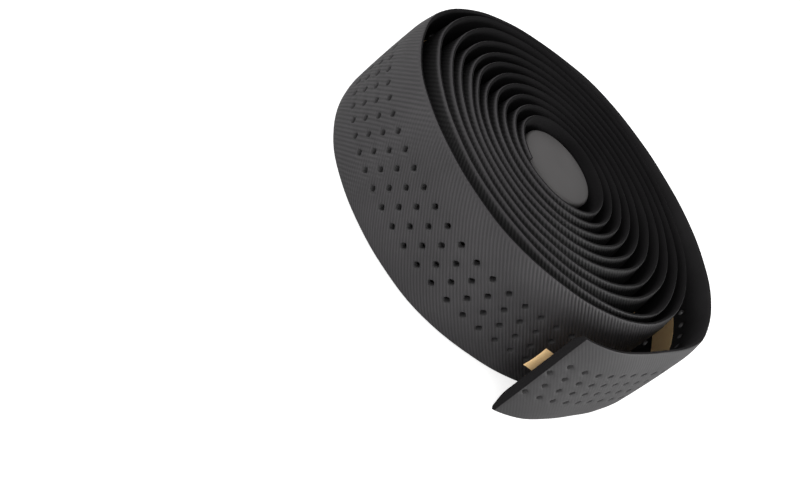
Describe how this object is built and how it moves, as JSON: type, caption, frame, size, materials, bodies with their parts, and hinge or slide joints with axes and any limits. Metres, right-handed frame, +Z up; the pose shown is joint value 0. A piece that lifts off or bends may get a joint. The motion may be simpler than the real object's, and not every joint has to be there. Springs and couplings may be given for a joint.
{
  "type": "handlebar tape roll",
  "caption": "Roll of perforated foam handlebar tape with skived edges, a loose free end, a paper strip on its back and a round bar-end plug in its core.",
  "frame": {"origin": "middle of the roll's box on the surface it lies on, at the lower edges of its turns", "axes": "+Z up along the roll's axis, from the edge it lies on to the edge with the plug's cap; +X towards the bulge of the loose outer turn; the free end is at -Y, towards +X"},
  "size_m": [0.1006, 0.0966, 0.03],
  "materials": {
    "tape": "matte embossed foam",
    "liner_paper": "smooth siliconed paper",
    "plug_plastic": "satin moulded plastic"
  },
  "bodies": {
    "root": {"tape": "tape", "release_liner": "liner_paper", "end_plug": "plug_plastic"}
  },
  "joints": []
}
